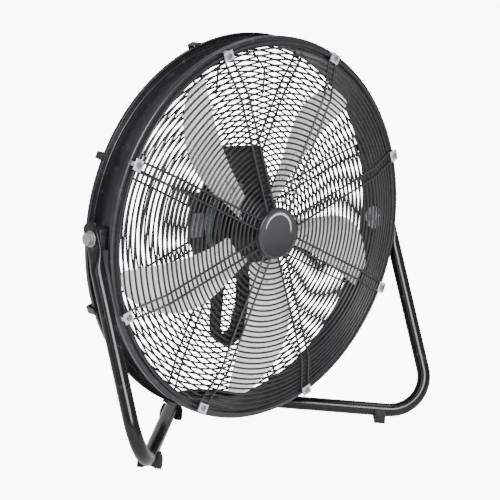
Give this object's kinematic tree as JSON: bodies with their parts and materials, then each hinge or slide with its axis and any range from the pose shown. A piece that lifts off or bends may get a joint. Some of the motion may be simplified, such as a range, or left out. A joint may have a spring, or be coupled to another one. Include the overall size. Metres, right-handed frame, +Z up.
{
  "type": "drum floor fan",
  "caption": "Round high-velocity air mover: a steel drum with wire guards and a sheet-metal propeller, tilting between the uprights of a bent-tube floor stand.",
  "frame": {"origin": "on the floor, below the middle of the outline without the cord", "axes": "+X to the right seen from the front, +Y to the back along the air path reversed, +Z up; the air blows towards -Y"},
  "size_m": [0.592, 0.2462, 0.5745],
  "materials": {
    "black_paint": "semi-gloss black powder coat",
    "black_wire": "semi-gloss black coated wire",
    "zinc": "bright zinc plate",
    "blade_metal": "satin mill finish",
    "steel": "machined steel, dull",
    "black_plastic": "moulded, fine matte",
    "rubber": "matte black"
  },
  "bodies": {
    "stand": {"stand_tube": "black_paint", "foot_front_left": "rubber", "foot_front_right": "rubber", "foot_rear_left": "rubber", "foot_rear_right": "rubber", "pivot_washer_left": "zinc", "pivot_washer_right": "zinc"},
    "head": {"pivot_bolt_left": "zinc", "pivot_bolt_right": "zinc", "pivot_block_left": "black_plastic", "pivot_block_right": "black_plastic", "inner_washer_left": "zinc", "inner_washer_right": "zinc", "pivot_nut_left": "zinc", "pivot_nut_right": "zinc", "drum_shell": "black_paint", "front_guard": "black_wire", "rear_guard": "black_wire", "front_clip_1": "zinc", "front_clip_2": "zinc", "front_clip_3": "zinc", "front_clip_4": "zinc", "front_clip_5": "zinc", "front_clip_6": "zinc", "front_clip_7": "zinc", "front_clip_8": "zinc", "rear_clip_1": "black_paint", "rear_clip_2": "black_paint", "rear_clip_3": "black_paint", "rear_clip_4": "black_paint", "rear_clip_5": "black_paint", "rear_clip_6": "black_paint", "rear_clip_7": "black_paint", "rear_clip_8": "black_paint", "hub_badge": "black_plastic", "motor_front_bell": "black_paint", "stator_stack": "steel", "motor_plate": "black_paint", "motor_rear_bell": "black_paint", "bearing_front": "steel", "bearing_rear": "steel", "capacitor_box": "black_plastic", "capacitor": "black_plastic", "switch_housing": "black_plastic", "rotary_switch": "black_plastic", "cord_strain_relief": "rubber", "cord": "rubber", "cord_hank": "rubber", "hank_tie": "black_plastic", "plug": "rubber"},
    "rotor": {"shaft": "steel", "rotor_core": "steel", "blade_spider": "black_paint", "blade_1": "blade_metal", "blade_2": "blade_metal", "blade_3": "blade_metal", "blade_4": "blade_metal", "blade_5": "blade_metal", "hub_nut": "zinc"},
    "knob": {"speed_knob": "black_plastic"}
  },
  "joints": [
    {"name": "head_tilt", "type": "hinge", "parent": "stand", "child": "head", "pos_m": [0, -0.00211, 0.2995], "axis": [-1, 0, 0], "range_deg": [-90, 90]},
    {"name": "fan_spin", "type": "hinge", "parent": "head", "child": "rotor", "pos_m": [0, 0, 0.2995], "axis": [0, 1, 0], "continuous": true},
    {"name": "knob_turn", "type": "hinge", "parent": "head", "child": "knob", "pos_m": [0, 0.09, 0.2995], "axis": [0, -1, 0], "range_deg": [0, 135]}
  ]
}
